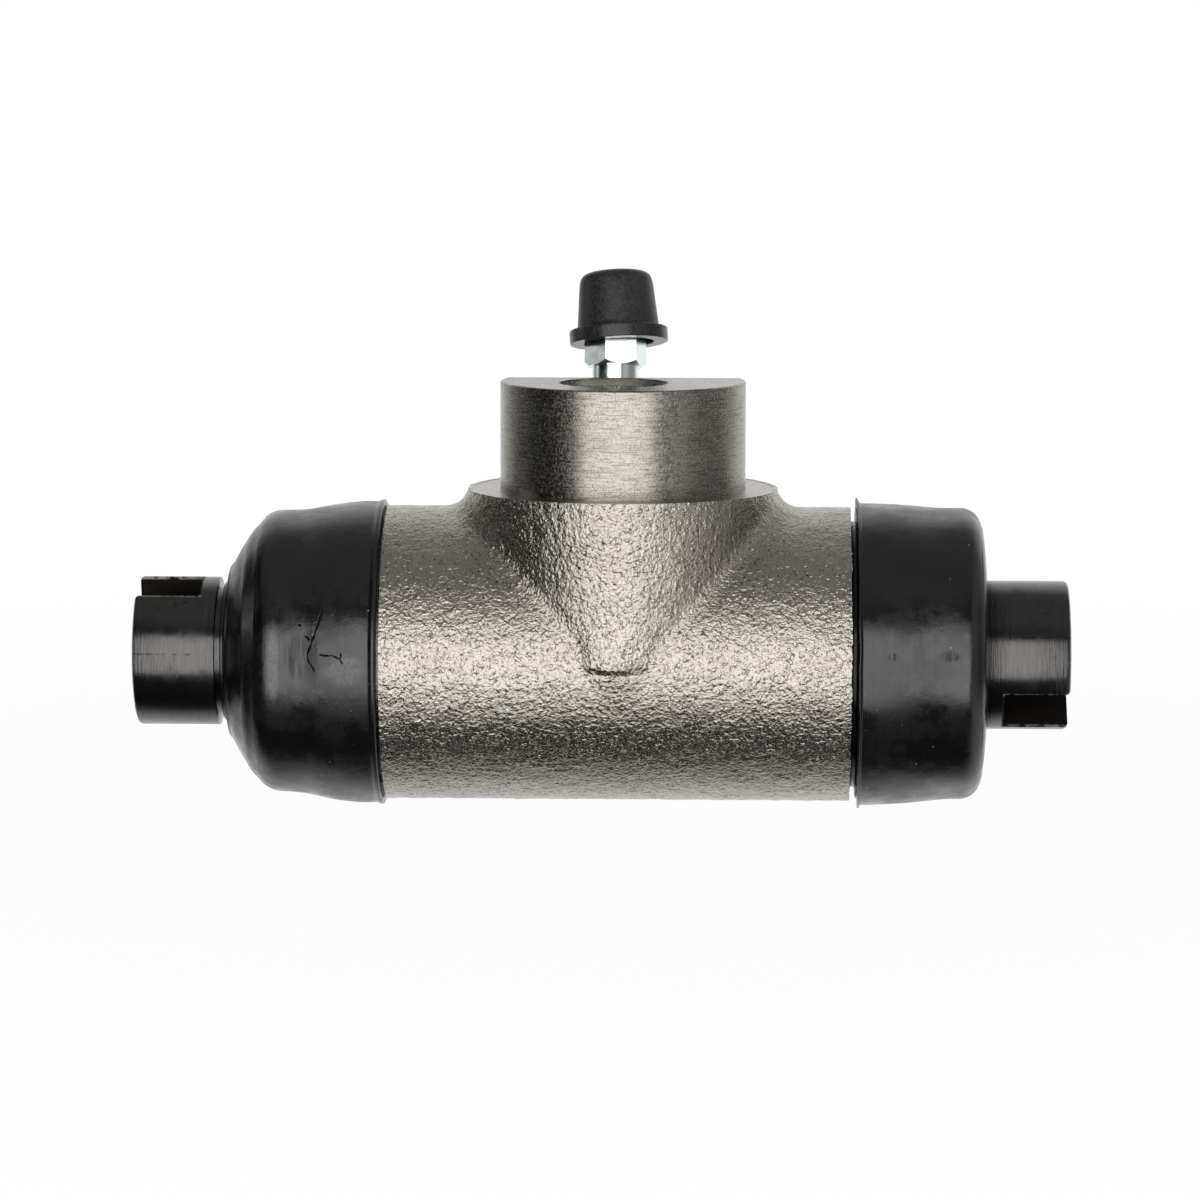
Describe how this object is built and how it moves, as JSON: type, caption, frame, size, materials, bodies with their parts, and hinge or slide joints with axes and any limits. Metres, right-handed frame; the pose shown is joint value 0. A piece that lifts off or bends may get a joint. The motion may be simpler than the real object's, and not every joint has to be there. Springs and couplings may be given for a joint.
{
  "type": "brake wheel cylinder",
  "caption": "Cast brake wheel cylinder with opposed slotted pistons, rubber boots, a round mounting spigot and a leaning bleed screw with dust cap.",
  "frame": {"origin": "where the axis of the mounting spigot meets the seat face", "axes": "+X along the barrel to the right piston, +Z along the mounting spigot towards the bleed screw, -Y to the front"},
  "size_m": [0.119, 0.0392, 0.0685],
  "materials": {
    "cast_body": "as-cast pebbled skin, turned spigot, seat and ends",
    "dark_steel": "black oxide over fine turning lines",
    "seal_rubber": "smooth moulded",
    "pressed_steel": "yellow zinc plate",
    "spring_steel": "drawn wire",
    "boot_rubber": "semi-gloss moulded, scuffed",
    "zinc_steel": "bright zinc plate",
    "cap_rubber": "matt moulded"
  },
  "bodies": {
    "cylinder": {"cylinder_body": "cast_body", "left_boot": "boot_rubber", "right_boot": "boot_rubber", "return_spring": "spring_steel"},
    "left_slider": {"left_cup": "seal_rubber", "left_expander": "pressed_steel"},
    "left_piston": {"left_piston": "dark_steel"},
    "right_slider": {"right_cup": "seal_rubber", "right_expander": "pressed_steel"},
    "right_piston": {"right_piston": "dark_steel"},
    "bleed_screw": {"bleed_screw": "zinc_steel"},
    "bleed_cap": {"bleed_cap": "cap_rubber"}
  },
  "joints": [
    {"name": "left_piston_slide", "type": "slide", "parent": "cylinder", "child": "left_slider", "axis": [-1, 0, 0], "range_m": [-0.007, 0.002], "deforming": ["left_boot", "return_spring"]},
    {"name": "left_piston_turn", "type": "hinge", "parent": "left_slider", "child": "left_piston", "pos_m": [-0.04, 0, -0.0213], "axis": [1, 0, 0], "continuous": true},
    {"name": "right_piston_slide", "type": "slide", "parent": "cylinder", "child": "right_slider", "axis": [1, 0, 0], "range_m": [-0.002, 0.007], "deforming": ["right_boot", "return_spring"]},
    {"name": "right_piston_turn", "type": "hinge", "parent": "right_slider", "child": "right_piston", "pos_m": [0.04, 0, -0.0213], "axis": [1, 0, 0], "continuous": true},
    {"name": "bleed_screw_turn", "type": "hinge", "parent": "cylinder", "child": "bleed_screw", "pos_m": [-0.0012, 0.008, 0.01294], "axis": [0, 0.225, 0.9744], "range_deg": [0, 360]},
    {"name": "bleed_cap_pull", "type": "slide", "parent": "bleed_screw", "child": "bleed_cap", "axis": [0, 0.225, 0.9744], "range_m": [0, 0.015]}
  ]
}
